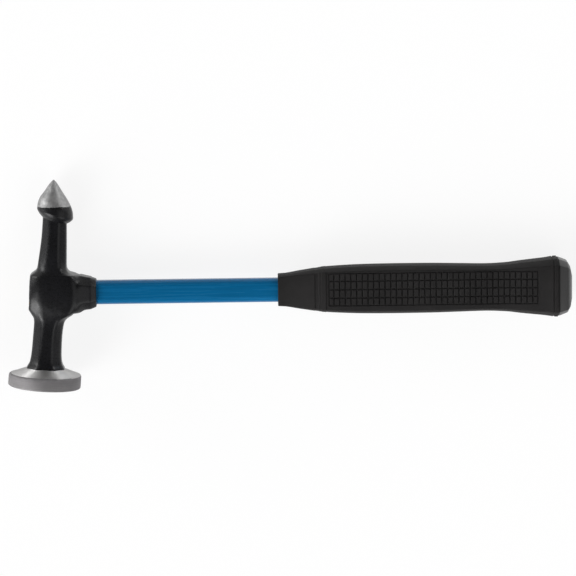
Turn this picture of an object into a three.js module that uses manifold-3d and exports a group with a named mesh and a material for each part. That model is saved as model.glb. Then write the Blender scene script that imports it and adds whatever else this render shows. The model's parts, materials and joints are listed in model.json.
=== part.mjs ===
// Auto body hammer: a forged steel head with a flat round face and a pointed pick,
// bonded to a jacketed glass fibre shaft that carries a moulded rubber grip.
// Millimetres. The hammer is drawn in its own frame first (handle along +X, pick
// towards +Y, thickness along Z), then laid down on its side the way it rests on a
// bench: rim of the face, pick collar and butt of the grip all touch z = 0.

import * as THREE from 'three';
import { mergeVertices } from 'three/addons/utils/BufferGeometryUtils.js';
import Module from 'manifold-3d';

const wasm = await Module();
wasm.setup();

// Fits and cutting allowances
const fitGap = 0.3;          // clearance between two pieces that meet
const cutOverrun = 4;        // how far every cutting solid runs past the piece it cuts
const weld = 0.6;            // how deep one part of the forging runs into the next
const mergeTolerance = 0.0005;   // corners closer than this are one corner

// Shaft sizes
const shaftHeight = 13;      // across the shaft, in the plane of the head
const shaftThick = 10.6;     // across the shaft, square to the head
const shaftCorner = 4;       // radius of the shaft's long edges
const jacketWall = 1.1;      // coloured jacket over the glass core

// Head sizes
const headLean = THREE.MathUtils.degToRad(4.5);   // pick end leans towards the handle

// Round striking face
const faceReach = 51.9;      // handle axis to the striking face, along the head
const rimRadius = 19.85;
const rimLength = 7.7;       // length of the cylindrical rim, its rounded edges included
const rimEdge = 1.1;         // rounded back edge of the rim
const faceEdge = 0.9;        // ground bevel around the striking face
const edgeRoundShare = 0.3;  // middle step of both rounded edges
const backConeRise = 2.7;    // height of the shallow cone behind the rim
const footRadius = 10.6;     // where that cone meets the neck
const roundSides = 72;

// Neck between the eye and the striking face
const lowerNeckHalf = 8.05;
const lowerFlareHalf = 9.6;  // neck at its foot
const lowerFlareLength = 8;
const lowerFlareShares = [[0, 1], [0.35, 0.42], [0.72, 0.12], [1, 0]];   // [along, across]

// Neck between the eye and the pick
const upperNeckHalf = 7.8;   // at the eye
const upperNeckTip = 6.6;    // under the pick

// Boss around the eye
const bossOuter = 11.55;     // head axis to the side of the boss away from the handle
const bossInner = 13.6;      // head axis to where the hub takes over
const bossTop = 9.4;         // straight side of the boss, towards the pick
const bossBottom = 8.6;      // straight side of the boss, towards the face
const bossEdgeShare = 0.93;  // outer side of the boss at its two ends: it is slightly crowned
const bossThickHalf = 11.3;
const bossCut = 6.4;         // long edges of the boss cut back: along the handle
const bossCutThick = 3.9;    // and in thickness
const topShoulder = 4.8;     // length over which the boss draws in to the upper neck
const bottomShoulder = 7.6;  // the same towards the lower neck

const neckStartShare = 1.5;  // upper neck is full size here, of its shoulder
// Each shoulder section: [along, outer side, hub side, thickness], 1 is the boss and 0 the neck
const topShoulderShares = [[0.38, 0.6, 0.72, 0.62], [0.65, 0.22, 0.34, 0.32], [1, 0.03, 0.08, 0.06]];
const bottomShoulderShares = [
  [0.28, 0.66, 0.98, 0.72], [0.52, 0.34, 0.66, 0.42], [0.75, 0.08, 0.34, 0.16], [1, 0, 0.12, 0.04],
];

// Hub around the shaft, measured from the head axis along the handle
const hubMouth = 25.2;
const hubMouthHalf = 7.5;    // half height at the mouth
const hubLip = 3.1;          // chamfer down to the mouth
const hubLipHalf = 8.5;      // half height where that chamfer starts
const hubRootHalf = 10.5;    // half height where the hub leaves the boss
const hubWaistShares = [0.45, 0.7];   // concave middle of the hub: [along, drawn in]
const hubWallTrim = 0.1;     // hub is this much slimmer across its thickness than the shaft asks
const hubCutShare = 0.5;     // flat cut on each long edge, of the half sizes

// Pick: a collar and a point whose sections tilt less and less towards the tip
const pickTip = 62;          // handle axis to the tip, along the head
const pickBase = 44.2;       // to the middle of the collar
const pickRadius = 10.1;     // collar
const pickTilt = THREE.MathUtils.degToRad(12.2);
const pickUnder = 4.6;       // height of the cone under the collar
const pickDrift = 1.6;       // tip stands this far off the head axis, away from the handle
const pickSides = 40;
// Sections under the collar: [depth, radius, tilt], depth as a share of pickUnder
const pickUnderShares = [[1, 0.65, 1], [0.3, 0.96, 1.1], [0, 1, 1]];
const pickRootShare = 0.9;   // hidden root inside the neck, of the neck's half width
const pickTipShare = 0.01;   // radius left at the very tip, of the collar
// Sections above the collar: [height, radius, tilt, drift] as shares of the sizes above
const pickShares = [
  [0.1, 0.98, 0.85, 0.05], [0.25, 0.89, 0.62, 0.25], [0.38, 0.77, 0.42, 0.35], [0.57, 0.535, 0.15, 0.45],
  [0.75, 0.345, 0, 0.75], [0.86, 0.23, 0, 1], [0.95, 0.1, 0, 1],
];

// Eye: widens from an inner step near the mouth to the far side of the boss
const mouthClearance = 0.4;  // throat of the hub around the shaft
const eyeStep = 4.6;         // length of that throat
const eyeNearMargin = 1.5;   // eye around the shaft just inside the step
const eyeFarMargin = 1.9;    // eye around the shaft at the far side
const sealLength = 3;        // elastic ring that closes the eye at the step
const capRecess = 0.5;       // adhesive stands this far below the far side of the boss
const capThick = 2.6;        // adhesive over the end of the shaft

// Grip sizes
const gripStart = 124.1;     // head axis to the front edge of the grip
const gripEnd = 284.4;       // head axis to the end of the grip
const gripEndWall = 7.5;     // closed end behind the shaft

const gripFrontHalf = 8.6;  // half heights, in the plane of the head
const gripPalmHalf = 13.05;
const gripWaistHalf = 12.4;
const gripButtHalf = 16.2;
const gripChamferHalf = 12.9;
const gripFlatHalf = 6.6;

const gripFrontThick = 7.3;  // half thicknesses, square to the head
const gripPalmThick = 10.9;
const gripWaistThick = 10.4;
const gripButtThick = 13.3;
const gripChamferThick = 10.4;
const gripFlatThick = 5;

const gripLip = 1.2;         // straight rim at the front edge
const gripEdge = 0.3;        // its rounded edge
const frontFlare = 44;       // from the front edge to the full palm section
const palmRun = 40;          // palm section, to where the waist begins to draw in
const waistAt = 113.5;       // narrowest place, from the front edge
const buttAt = 151.6;        // widest place, from the front edge
const buttChamfer = 6.6;     // end chamfer, along the handle

const gripCutHigh = 2.6;     // long edges of the grip cut back: in height
const gripCutThick = 5.2;    // and in thickness
const frontFlareShares = [[0.26, 0.45], [0.52, 0.76], [0.75, 0.92]];     // [along, across]
const buttFlareShares = [[0.3, 0.13], [0.48, 0.36], [0.7, 0.66]];        // [along, across]

// Helpers

// Closed solid ready for joins and cuts, always turned with its faces outward.
function toSolid(geometry) {
  const bare = geometry.clone();
  bare.deleteAttribute('normal');
  bare.deleteAttribute('uv');
  const merged = mergeVertices(bare, mergeTolerance);
  const position = merged.attributes.position;
  const corners = [new THREE.Vector3(), new THREE.Vector3(), new THREE.Vector3()];
  const faces = [];
  let volume = 0;
  for (let i = 0; i < merged.index.count; i += 3) {
    const [a, b, c] = [0, 1, 2].map((k) => merged.index.getX(i + k));
    if (a === b || b === c || c === a) continue;
    faces.push([a, b, c]);
    [a, b, c].forEach((index, k) => corners[k].fromBufferAttribute(position, index));
    volume += corners[0].dot(corners[1].cross(corners[2]));
  }
  const triVerts = new Uint32Array(faces.flatMap(([a, b, c]) => (volume < 0 ? [a, c, b] : [a, b, c])));
  const vertProperties = new Float32Array(position.array);
  return new wasm.Manifold(new wasm.Mesh({ numProp: 3, vertProperties, triVerts }));
}

function toGeometry(solid) {
  const mesh = solid.getMesh();
  const geometry = new THREE.BufferGeometry();
  geometry.setAttribute('position', new THREE.BufferAttribute(new Float32Array(mesh.vertProperties), 3));
  geometry.setIndex(new THREE.BufferAttribute(new Uint32Array(mesh.triVerts), 1));
  geometry.computeVertexNormals();
  return geometry;
}

// Skin over a row of sections that all have the same number of points, closed at both ends.
function loft(rings) {
  const count = rings[0].length;
  const index = [];
  for (let r = 0; r + 1 < rings.length; r += 1) {
    for (let i = 0; i < count; i += 1) {
      const next = (i + 1) % count;
      const near = r * count;
      const far = near + count;
      index.push(near + i, near + next, far + next, near + i, far + next, far + i);
    }
  }
  const last = (rings.length - 1) * count;
  for (let i = 1; i + 1 < count; i += 1) {
    index.push(0, i + 1, i);
    index.push(last, last + i, last + i + 1);
  }
  const geometry = new THREE.BufferGeometry().setFromPoints(rings.flat());
  geometry.setIndex(index);
  return toSolid(geometry);
}

// Eight-sided section with flats at left, right and plus or minus half, its corners cut off.
function octagon(left, right, half, cutAcross, cutThick) {
  return [
    [right, half - cutThick], [right - cutAcross, half], [left + cutAcross, half], [left, half - cutThick],
    [left, cutThick - half], [left + cutAcross, -half], [right - cutAcross, -half], [right, cutThick - half],
  ];
}

// Rectangle with rounded corners, as points in the plane across the handle.
function roundedSection(halfHigh, halfThick, radius) {
  const shape = new THREE.Shape();
  const y = halfHigh - radius;
  const z = halfThick - radius;
  shape.absarc(y, z, radius, 0, Math.PI / 2);
  shape.absarc(-y, z, radius, Math.PI / 2, Math.PI);
  shape.absarc(-y, -z, radius, Math.PI, 1.5 * Math.PI);
  shape.absarc(y, -z, radius, 1.5 * Math.PI, 2 * Math.PI);
  return shape.getPoints(6).slice(0, -1).map((point) => [point.x, point.y]);
}

// Straight or tapered bar along the handle between two rounded sections; the end may lean.
function handleBar(start, end, startMargin, endMargin, endLean = 0) {
  const ring = (x, margin, lean) => roundedSection(
    shaftHeight / 2 + margin,
    shaftThick / 2 + margin,
    shaftCorner + margin,
  ).map(([y, z]) => new THREE.Vector3(x + y * Math.tan(lean), y, z));
  return loft([ring(start, startMargin, 0), ring(end, endMargin, endLean)]);
}

const mix = THREE.MathUtils.lerp;
const across = (x) => ([y, z]) => new THREE.Vector3(x, y, z);   // section across the handle
const along = (y) => ([x, z]) => new THREE.Vector3(x, y, z);    // section across the head

// The forged head

const octagonCut = 1 - Math.tan(Math.PI / 8);    // corner cut of a regular octagon
const neckSection = (half) => octagon(-half, half, half, half * octagonCut, half * octagonCut);

// Between neck and boss: each side keeps its own share of the way out to the boss.
function shoulderSection(neckHalf, outerShare, hubShare, thickShare) {
  const half = mix(neckHalf, bossThickHalf, thickShare);
  return octagon(
    -mix(neckHalf, bossOuter, outerShare),
    mix(neckHalf, bossInner, hubShare),
    half,
    mix(neckHalf * octagonCut, bossCut, thickShare),
    mix(neckHalf * octagonCut, bossCutThick, thickShare),
  );
}

function bar() {
  const rimBack = rimLength - faceReach;
  const footAt = rimBack + backConeRise;
  const rings = [neckSection(lowerFlareHalf).map(along(rimBack - weld))];
  for (const [alongShare, acrossShare] of lowerFlareShares) {
    const half = mix(lowerNeckHalf, lowerFlareHalf, acrossShare);
    rings.push(neckSection(half).map(along(footAt + lowerFlareLength * alongShare)));
  }
  for (const [at, outer, hub, thick] of [...bottomShoulderShares].reverse()) {
    const section = shoulderSection(lowerNeckHalf, outer, hub, thick);
    rings.push(section.map(along(-bossBottom - bottomShoulder * at)));
  }
  rings.push(shoulderSection(lowerNeckHalf, bossEdgeShare, 1, 1).map(along(-bossBottom)));
  rings.push(shoulderSection(lowerNeckHalf, 1, 1, 1).map(along(-bossBottom / 2)));
  rings.push(shoulderSection(upperNeckHalf, 1, 1, 1).map(along(bossTop / 2)));
  rings.push(shoulderSection(upperNeckHalf, bossEdgeShare, 1, 1).map(along(bossTop)));
  for (const [at, outer, hub, thick] of topShoulderShares) {
    const section = shoulderSection(upperNeckHalf, outer, hub, thick);
    rings.push(section.map(along(bossTop + topShoulder * at)));
  }
  rings.push(neckSection(upperNeckHalf).map(along(bossTop + topShoulder * neckStartShare)));
  rings.push(neckSection(upperNeckTip).map(along(pickBase - pickUnder / 2)));
  return loft(rings);
}

function strikingFace() {
  const rimBack = rimLength - faceReach;
  const profile = [
    [0, -faceReach],
    [rimRadius - faceEdge, -faceReach],
    [rimRadius - faceEdge * edgeRoundShare, faceEdge * edgeRoundShare - faceReach],
    [rimRadius, faceEdge - faceReach],
    [rimRadius, rimBack - rimEdge],
    [rimRadius - rimEdge * edgeRoundShare, rimBack - rimEdge * edgeRoundShare],
    [rimRadius - rimEdge, rimBack],
    [footRadius, rimBack + backConeRise],
    [lowerFlareHalf, rimBack + backConeRise + weld],
    [0, rimBack + backConeRise + weld],
  ];
  const points = profile.map(([radius, at]) => new THREE.Vector2(radius, at));
  return toSolid(new THREE.LatheGeometry(points, roundSides));
}

// Circle of the pick, its middle on the drifting axis, tilted down towards the handle.
function pickRing(height, radius, tilt, drift) {
  const ring = [];
  for (let i = 0; i < pickSides; i += 1) {
    const angle = (2 * Math.PI * i) / pickSides;
    const reach = radius * Math.cos(angle);
    ring.push(new THREE.Vector3(
      reach * Math.cos(tilt) - drift,
      height - reach * Math.sin(tilt),
      radius * Math.sin(angle),
    ));
  }
  return ring;
}

function pick() {
  const rise = pickTip - pickBase;
  const rings = [
    pickRing(pickBase - pickUnder - weld, upperNeckTip * pickRootShare, pickTilt, 0),
  ];
  for (const [depth, radius, tilt] of pickUnderShares) {
    rings.push(pickRing(pickBase - pickUnder * depth, pickRadius * radius, pickTilt * tilt, 0));
  }
  for (const [height, radius, tilt, drift] of pickShares) {
    rings.push(pickRing(pickBase + rise * height, pickRadius * radius, pickTilt * tilt, pickDrift * drift));
  }
  rings.push(pickRing(pickTip, pickRadius * pickTipShare, 0, pickDrift));
  return loft(rings);
}

function hub() {
  const thinner = (shaftHeight - shaftThick) / 2 + hubWallTrim;
  const section = (x, half) => {
    const thick = half - thinner;
    return octagon(-half, half, thick, half * hubCutShare, thick * hubCutShare).map(across(x));
  };
  const [waistAlong, waistIn] = hubWaistShares;
  return loft([
    section(0, hubRootHalf),
    section(bossInner - weld, hubRootHalf),
    section(mix(bossInner, hubMouth - hubLip, waistAlong), mix(hubRootHalf, hubLipHalf, waistIn)),
    section(hubMouth - hubLip, hubLipHalf),
    section(hubMouth, hubMouthHalf),
  ]);
}

const eyeNear = hubMouth - eyeStep;               // step that the seal rests on
const eyeFar = -bossOuter / Math.cos(headLean);   // far side of the boss, on the handle axis

function headGeometry() {
  const turn = [0, 0, -THREE.MathUtils.radToDeg(headLean)];
  const upright = bar().add(strikingFace()).add(pick()).rotate(turn);
  const eyeRun = eyeNear - eyeFar;
  const overrunShare = cutOverrun / eyeRun;
  const eye = handleBar(
    eyeNear,
    eyeFar - cutOverrun,
    eyeNearMargin,
    mix(eyeNearMargin, eyeFarMargin, 1 + overrunShare),
  );
  const throat = handleBar(eyeNear - weld, hubMouth + cutOverrun, mouthClearance, mouthClearance);
  return toGeometry(upright.add(hub()).subtract(eye).subtract(throat));
}

// What fills the eye around the shaft

const shaftStart = eyeFar + capRecess + capThick + fitGap;

function eyeSealGeometry() {
  const near = eyeNear - fitGap;
  const ring = handleBar(near - sealLength, near, eyeNearMargin - fitGap, eyeNearMargin - fitGap);
  const bore = handleBar(near - sealLength - cutOverrun, near + cutOverrun, fitGap, fitGap);
  return toGeometry(ring.subtract(bore));
}

function eyeBondGeometry() {
  const near = eyeNear - sealLength - 2 * fitGap;
  const far = eyeFar + capRecess;
  const marginAt = (x) => mix(eyeNearMargin, eyeFarMargin, (eyeNear - x) / (eyeNear - eyeFar)) - fitGap;
  const plug = handleBar(near, far, marginAt(near), marginAt(far), headLean);
  const bore = handleBar(shaftStart - fitGap, near + cutOverrun, fitGap, fitGap);
  return toGeometry(plug.subtract(bore));
}

// The shaft: a glass core in its coloured jacket

const shaftEnd = gripEnd - gripEndWall - fitGap;

function shaftCoreGeometry() {
  const inset = -jacketWall - fitGap;
  return toGeometry(handleBar(shaftStart, shaftEnd, inset, inset));
}

function shaftJacketGeometry() {
  const tube = handleBar(shaftStart, shaftEnd, 0, 0);
  const bore = handleBar(shaftStart - cutOverrun, shaftEnd + cutOverrun, -jacketWall, -jacketWall);
  return toGeometry(tube.subtract(bore));
}

// The moulded grip, closed behind the shaft

function gripGeometry() {
  const section = (at, high, thick) => octagon(
    -high,
    high,
    thick,
    gripCutHigh * (high / gripPalmHalf),
    gripCutThick * (thick / gripPalmThick),
  ).map(across(gripStart + at));
  const length = gripEnd - gripStart;
  const palmAt = frontFlare;
  const rings = [
    section(0, gripFrontHalf - gripEdge, gripFrontThick - gripEdge),
    section(gripEdge, gripFrontHalf, gripFrontThick),
    section(gripLip, gripFrontHalf, gripFrontThick),
  ];
  for (const [at, share] of frontFlareShares) {
    const high = mix(gripFrontHalf, gripPalmHalf, share);
    const thick = mix(gripFrontThick, gripPalmThick, share);
    rings.push(section(mix(gripLip, palmAt, at), high, thick));
  }
  rings.push(section(palmAt, gripPalmHalf, gripPalmThick));
  rings.push(section(palmAt + palmRun, gripPalmHalf, gripPalmThick));
  rings.push(section(waistAt, gripWaistHalf, gripWaistThick));
  for (const [at, share] of buttFlareShares) {
    const high = mix(gripWaistHalf, gripButtHalf, share);
    const thick = mix(gripWaistThick, gripButtThick, share);
    rings.push(section(mix(waistAt, buttAt, at), high, thick));
  }
  rings.push(section(buttAt, gripButtHalf, gripButtThick));
  rings.push(section(buttAt + buttChamfer, gripChamferHalf, gripChamferThick));
  rings.push(section(length, gripFlatHalf, gripFlatThick));
  const bore = handleBar(gripStart - cutOverrun, shaftEnd + fitGap, fitGap, fitGap);
  return toGeometry(loft(rings).subtract(bore));
}

// Assembly

function piece(name, geometry, color, roughness, metalness) {
  const mesh = new THREE.Mesh(geometry, new THREE.MeshStandardMaterial({ color, roughness, metalness }));
  mesh.name = name;
  return mesh;
}

const hammer = new THREE.Group();
hammer.add(
  piece('head', headGeometry(), 0x2a2a2d, 0.38, 0.85),
  piece('eye_bond', eyeBondGeometry(), 0xa08a58, 0.35, 0),
  piece('eye_seal', eyeSealGeometry(), 0x1a1a1a, 0.8, 0),
  piece('shaft_core', shaftCoreGeometry(), 0xc9c6ad, 0.5, 0),
  piece('shaft_jacket', shaftJacketGeometry(), 0x055f93, 0.3, 0),
  piece('grip', gripGeometry(), 0x292929, 0.75, 0),
);

// Three places carry the hammer as it lies: back edge of the rim, pick collar, butt corner.
const headAxis = new THREE.Vector3(Math.sin(headLean), Math.cos(headLean), 0);
const restRim = headAxis.clone().multiplyScalar(rimLength - rimEdge - faceReach);
restRim.z = -rimRadius;
const restPick = headAxis.clone().multiplyScalar(pickBase);
restPick.z = -pickRadius;
const restButt = new THREE.Vector3(
  gripStart + buttAt,
  gripButtHalf * (1 - gripCutHigh / gripPalmHalf),
  -gripButtThick,
);
const up = new THREE.Vector3().crossVectors(
  restButt.clone().sub(restRim),
  restPick.clone().sub(restRim),
).normalize();
const side = new THREE.Vector3().crossVectors(up, new THREE.Vector3(1, 0, 0)).normalize();
const forward = new THREE.Vector3().crossVectors(side, up);
hammer.quaternion.setFromRotationMatrix(new THREE.Matrix4().makeBasis(forward, side, up)).invert();

// The origin is under the middle of the laid down hammer.
const box = new THREE.Box3().setFromObject(hammer, true);
const middle = box.getCenter(new THREE.Vector3());
hammer.position.set(-middle.x, -middle.y, -box.min.z);

const group = new THREE.Group();
group.add(hammer);

export default group;
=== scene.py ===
import json
import math

import bmesh
import bpy
from mathutils import Matrix, Vector


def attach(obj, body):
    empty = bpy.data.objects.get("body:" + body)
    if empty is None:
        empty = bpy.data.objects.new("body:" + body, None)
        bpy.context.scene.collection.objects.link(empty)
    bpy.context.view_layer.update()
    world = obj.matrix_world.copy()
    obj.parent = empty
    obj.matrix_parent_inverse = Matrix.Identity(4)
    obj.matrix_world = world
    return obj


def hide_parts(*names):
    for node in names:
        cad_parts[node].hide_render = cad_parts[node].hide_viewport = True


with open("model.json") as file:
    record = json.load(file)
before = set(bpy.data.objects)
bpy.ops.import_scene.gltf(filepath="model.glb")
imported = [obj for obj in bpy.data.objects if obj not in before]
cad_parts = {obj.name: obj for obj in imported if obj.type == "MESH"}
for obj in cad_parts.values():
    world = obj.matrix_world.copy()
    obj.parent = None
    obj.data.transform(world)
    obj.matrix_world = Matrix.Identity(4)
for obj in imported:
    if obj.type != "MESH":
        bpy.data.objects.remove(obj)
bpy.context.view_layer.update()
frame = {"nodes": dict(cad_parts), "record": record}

bl_info = {
    "name": "Auto Body Hammer",
    "version": (1, 0, 0),
    "blender": (4, 5, 0),
    "location": "3D View > Sidebar > Hammer",
    "description": "Pick hammer for panel beating, with a forged head, a fibre glass shaft and a rubber grip",
    "category": "Add Mesh",
}

MM = 0.001
PHOTO_WIDTH = 576      # the picture is taken at this width, in pixels
SENSOR = 36.0          # width of the camera's sensor, in its own millimetres


def length(name, millimetres, description, low=0.0):
    """A size of the hammer, written in millimetres and kept in metres."""
    return bpy.props.FloatProperty(
        name=name, description=description, default=millimetres * MM, min=low, precision=5, unit="LENGTH")


def turn(name, degrees, description):
    return bpy.props.FloatProperty(
        name=name, description=description, default=math.radians(degrees), precision=3, subtype="ANGLE")


def share(name, value, description):
    return bpy.props.FloatProperty(
        name=name, description=description, default=value, min=0.0, max=1.0, subtype="FACTOR")


def count(name, value, description):
    return bpy.props.IntProperty(name=name, description=description, default=value, min=1)


def level(name, value, description):
    return bpy.props.FloatProperty(name=name, description=description, default=value, min=0.0, precision=3)


def paint(name, red, green, blue, description):
    """A colour, written as the 0 to 255 numbers of a colour chart and kept as linear light."""
    def light(value):
        value /= 255
        return value / 12.92 if value <= 0.04045 else ((value + 0.055) / 1.055) ** 2.4
    return bpy.props.FloatVectorProperty(
        name=name, description=description, size=3, subtype="COLOR", min=0.0, max=1.0,
        default=(light(red), light(green), light(blue)))


class ForgedHeadSizes(bpy.types.PropertyGroup):
    lean: turn("Lean", 4.5, "Pick end of the head leans this much towards the handle")
    face_reach: length("Face reach", 51.9, "Handle axis to the striking face")
    rim_radius: length("Rim radius", 19.85, "Half the width of the round face")
    rim_length: length("Rim length", 7.7, "Length of the face's rim along the head")
    rim_edge: length("Rim back edge", 1.35, "Rounding of the rim's back edge")
    face_edge: length("Face edge", 0.9, "Ground edge around the striking face")
    cone_rise: length("Back cone", 3.0, "Height of the shallow cone behind the rim")
    face_offset: length("Face offset", 0.4, "The face stands this far off the head axis, away from the handle")
    rim_turn: turn("Rim turn", -1.6, "The back of the rim is turned this much from square, thinner on the outer side")
    rim_lower: length("Rim lower", 0.5, "How much lower the back of the rim lies at the head axis")
    foot_radius: length("Cone top", 10.6, "Radius where the back cone meets the neck")
    lower_neck: length("Lower neck", 8.05, "Half width of the neck towards the face")
    lower_foot: length("Lower neck foot", 10.0, "Half width of that neck where it meets the face")
    upper_neck: length("Upper neck", 7.8, "Half width of the neck towards the pick")
    upper_tip: length("Upper neck end", 6.6, "Half width of that neck under the pick")
    boss_outer: length("Boss, outer side", 11.85, "Head axis to the side of the boss away from the handle")
    boss_inner: length("Boss, handle side", 13.6, "Head axis to the side of the boss towards the handle")
    boss_thick: length("Boss half thickness", 11.3, "Half thickness of the boss around the eye")
    boss_cut: length("Boss corner, outer side", 5.6, "Cut corners away from the handle, measured along the handle")
    boss_cut_inner: length("Boss corner, handle side", 1.3, "Cut corners towards the handle, measured along it")
    boss_cut_thick: length("Boss corner, thick", 3.5, "Cut corners of the boss, measured in thickness")
    hub_mouth: length("Hub mouth", 25.2, "Head axis to the mouth of the hub")
    hub_mouth_half: length("Hub mouth half", 7.5, "Half height of the hub at its mouth")
    hub_lip: length("Hub lip", 3.1, "Chamfer down to the mouth")
    hub_lip_half: length("Hub lip half", 8.5, "Half height where that chamfer starts")
    hub_slimmer: length("Hub slimmer", 0.5, "How much less half thickness than half height the hub has at its mouth")
    pick_tip: length("Pick tip", 62.0, "Handle axis to the tip of the pick")
    pick_base: length("Pick collar", 44.2, "Handle axis to the middle of the collar")
    pick_radius: length("Collar radius", 10.1, "Radius of the collar under the pick")
    pick_tilt: turn("Collar tilt", 12.2, "Collar slopes down towards the handle")
    pick_under: length("Under the collar", 4.6, "Height of the cone under the collar")
    pick_drift: length("Tip drift", 1.6, "Tip stands this far off the head axis")
    steel_edge: share("Soft edges", 0.42, "How firmly the long edges of the forging hold")


class HandleSizes(bpy.types.PropertyGroup):
    shaft_height: length("Shaft height", 13.0, "Across the shaft, in the plane of the head")
    shaft_thick: length("Shaft thickness", 10.6, "Across the shaft, square to the head")
    shaft_corner: length("Shaft corner", 4.0, "Radius of the shaft's long edges")
    jacket_wall: length("Jacket wall", 1.1, "Coloured jacket over the glass core")
    fit_gap: length("Fit gap", 0.3, "Clearance between two pieces that meet")
    shaft_start: length("Shaft start", -8.186, "Head axis to the end of the shaft in the eye", -1.0)
    shaft_end: length("Shaft end", 276.6, "Head axis to the end of the shaft in the grip")
    eye_near: length("Eye step", 20.6, "Head axis to the step inside the hub")
    eye_far: length("Eye far side", -11.586, "Head axis to the far side of the eye", -1.0)
    mouth_margin: length("Throat margin", 0.4, "Throat of the hub around the shaft")
    eye_near_margin: length("Eye margin, step", 1.5, "Eye around the shaft at the step")
    eye_far_margin: length("Eye margin, far side", 1.9, "Eye around the shaft at the far side")
    broken_edge: length("Broken edge", 0.5, "Small chamfer around both ends of the eye")
    grip_start: length("Grip start", 124.1, "Head axis to the front edge of the grip")
    grip_end: length("Grip end", 284.4, "Head axis to the end of the grip")
    cut_high: length("Grip corner, high", 1.9, "Long corners of the grip cut back in height, at the palm")
    cut_thick: length("Grip corner, thick", 5.2, "Long corners of the grip cut back in thickness, at the palm")
    palm_half: length("Palm half height", 13.05, "Half height of the grip at the palm")
    palm_thick: length("Palm half thickness", 10.9, "Half thickness of the grip at the palm")
    corner_round: length("Grip rounding", 0.5, "Rounding of the moulded edges")
    pad_start: length("First pads", 151.5, "Head axis to the first row of pads")
    pad_end: length("Last pads", 265.6, "Head axis to the last row of pads")
    panel_half: length("Panel half", 9.2, "Half the height of the panel of pads")
    panel_shift: length("Panel shift", 1.0, "How far the panels lie off the middle, towards the pick")
    panel_depth: length("Panel depth", 0.35, "How deep the floor of the panel lies")
    pad_columns: count("Pads along", 37, "Moulded pads along the grip")
    pad_rows: count("Pads across", 4, "Moulded pads across each side of the grip")
    pad_gap: length("Pad groove", 0.26, "Half the groove between two pads")
    pad_height: length("Pad height", 0.58, "How far the pads stand up from the floor of the panel")


class FinishColours(bpy.types.PropertyGroup):
    forging_black: paint("Forging black", 18, 18, 20, "Paint on the forged head")
    ground_steel: paint("Turned steel", 212, 211, 210, "Bare steel of the cone behind the face")
    # Darker than the turned steel of the same forging: painted shade standing in for the micro-shadowing of the rough
    # grind
    rim_steel: paint("Rim steel", 144, 142, 143, "Ground steel of the rim and the striking face")
    pick_steel: paint("Pick steel", 174, 174, 174, "Ground steel of the pick")
    shaft_blue: paint("Shaft blue", 2, 92, 138, "Jacket of the shaft")
    grip_black: paint("Grip black", 32, 31, 31, "Rubber of the grip")
    adhesive: paint("Adhesive", 160, 120, 60, "Cured adhesive in the eye")
    seal_black: paint("Seal black", 26, 26, 26, "Elastic ring in the eye")
    glass_core: paint("Glass core", 203, 200, 172, "Fibre glass inside the jacket")
    floor_white: paint("Floor", 252, 252, 252, "Floor under the hammer")


class StudioSettings(bpy.types.PropertyGroup):
    distance: bpy.props.FloatProperty(
        name="Camera distance", description="Camera to the middle of the hammer", default=2.0, min=0.1, unit="LENGTH")
    scale: bpy.props.FloatProperty(
        name="Picture scale", description="Pixels of the picture for each millimetre of the hammer", default=1.832)
    climb: turn("Camera climb", 7.93, "Camera leans this much from square, towards the pick")
    swing: turn("Camera swing", -0.361, "Camera leans this much along the handle")
    roll: turn("Camera roll", -0.712, "Camera is turned this much about its own axis")
    aim_along: length("Aim along", 129.62, "Where the camera looks, along the handle")
    aim_across: length("Aim across", 0.82, "Where the camera looks, along the head")
    wall_head: level("Wall, head end", 0.85, "Brightness of the wall past the head")
    wall_butt: level("Wall, butt end", 0.3, "Brightness of the wall past the butt")
    wall_sides: level("Walls, both sides", 0.18, "Brightness of the walls along the hammer")
    ceiling: level("Ceiling", 0.11, "Brightness of the dark ceiling")
    panels: level("Light panels", 1.0, "Strength of all the soft panels of light")
    floor_glow: level("Floor, as seen", 0.85, "How much the floor shows as plain white; the shadow is in the rest")


# Where the hammer lies

def hammer_frame():
    """The hammer's own frame: X along the handle, Y along the square of it towards the pick, Z in thickness."""
    found = {mount["name"]: mount for mount in frame["record"]["mounts"]}
    along = Vector(found["butt_end"]["axis"]).normalized()
    head_way = -Vector(found["striking_face"]["axis"]).normalized()
    up = along.cross(head_way).normalized()
    side = up.cross(along)
    butt, face = Vector(found["butt_end"]["pos_m"]), Vector(found["striking_face"]["pos_m"])
    lean = along.dot(head_way)
    apart = butt - face
    back = (lean * apart.dot(head_way) - apart.dot(along)) / (1 - lean * lean)
    middle = butt + along * back
    place = Matrix((along, side, up)).transposed().to_4x4()
    place.translation = middle
    return place


def head_frame():
    """As the hammer's frame, with Y along the leaning head."""
    return hammer_frame() @ Matrix.Rotation(-bpy.context.scene.hammer_head.lean, 4, "Z")


# Working in edit mode

def make_active(piece):
    """Selects this piece and no other."""
    bpy.ops.object.select_all(action="DESELECT")
    piece.select_set(True)
    bpy.context.view_layer.objects.active = piece


def start_editing(piece):
    make_active(piece)
    bpy.ops.object.mode_set(mode="EDIT")


def stop_editing():
    bpy.ops.object.mode_set(mode="OBJECT")


def choose_all():
    bpy.ops.mesh.select_all(action="SELECT")


def choose(piece, test, kind="VERT"):
    """Selects the corners, edges or faces that pass the test, and nothing else."""
    bpy.ops.mesh.select_mode(type=kind)
    bpy.ops.mesh.select_all(action="DESELECT")
    mesh = bmesh.from_edit_mesh(piece.data)
    mesh.verts.index_update()
    for part in {"VERT": mesh.verts, "EDGE": mesh.edges, "FACE": mesh.faces}[kind]:
        if test(part):
            part.select_set(True)
    mesh.select_flush_mode()
    bmesh.update_edit_mesh(piece.data)


def chosen(piece):
    """The corners that are selected: number and place of each."""
    mesh = bmesh.from_edit_mesh(piece.data)
    mesh.verts.index_update()
    return {corner.index: corner.co.copy() for corner in mesh.verts if corner.select}


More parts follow.
